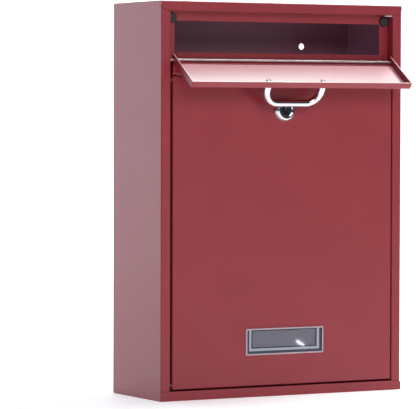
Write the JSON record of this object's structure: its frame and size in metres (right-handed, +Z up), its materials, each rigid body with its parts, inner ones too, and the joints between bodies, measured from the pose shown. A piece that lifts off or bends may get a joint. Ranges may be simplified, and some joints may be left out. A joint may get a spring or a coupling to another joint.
{
  "type": "wall drop box",
  "caption": "Folded sheet-steel wall letter box with a hinged letter flap, a locked front door, a name window and holes for wall screws.",
  "frame": {"origin": "middle of the four wall fixing holes, on the back face", "axes": "+Y out of the back face into the wall, -Y out of the front, +Z up, +X to the right for someone in front of the box"},
  "size_m": [0.3199, 0.1641, 0.452],
  "materials": {
    "casing_paint": "semi-gloss powder coat",
    "flap_paint": "semi-gloss powder coat",
    "door_paint": "semi-gloss powder coat",
    "zinc": "bright zinc plating",
    "blackened_steel": "blackened steel",
    "chrome": "polished chrome plating",
    "lock_face": "turned steel",
    "rubber": "matt black rubber",
    "clear_plastic": "clear moulded plastic",
    "grey_plastic": "matt grey plastic"
  },
  "bodies": {
    "casing": {"casing": "casing_paint", "top_panel": "casing_paint", "bottom_panel": "casing_paint", "cross_rail": "casing_paint", "hinge_rod": "zinc", "flap_catch": "zinc", "buffer_left": "rubber", "buffer_right": "rubber", "door": "door_paint", "hinge_bracket_top": "zinc", "hinge_bracket_bottom": "zinc", "hinge_pin_top": "blackened_steel", "hinge_pin_bottom": "blackened_steel", "bracket_rivets": "zinc", "lock_housing": "chrome", "lock_nut": "zinc", "name_window": "clear_plastic", "window_backing": "grey_plastic"},
    "flap": {"flap": "flap_paint", "flap_handle": "chrome", "handle_screws": "zinc"},
    "lock": {"lock_plug": "lock_face", "lock_cam": "zinc", "cam_washer": "zinc", "cam_screw": "zinc"}
  },
  "joints": [
    {"name": "flap_hinge", "type": "hinge", "parent": "casing", "child": "flap", "pos_m": [0, -0.1172, 0.1596], "axis": [1, 0, 0], "range_deg": [-124.3, 0]},
    {"name": "lock_turn", "type": "hinge", "parent": "casing", "child": "lock", "pos_m": [0.00005, -0.112, 0.10315], "axis": [0, 1, 0], "range_deg": [-90, 0]}
  ]
}
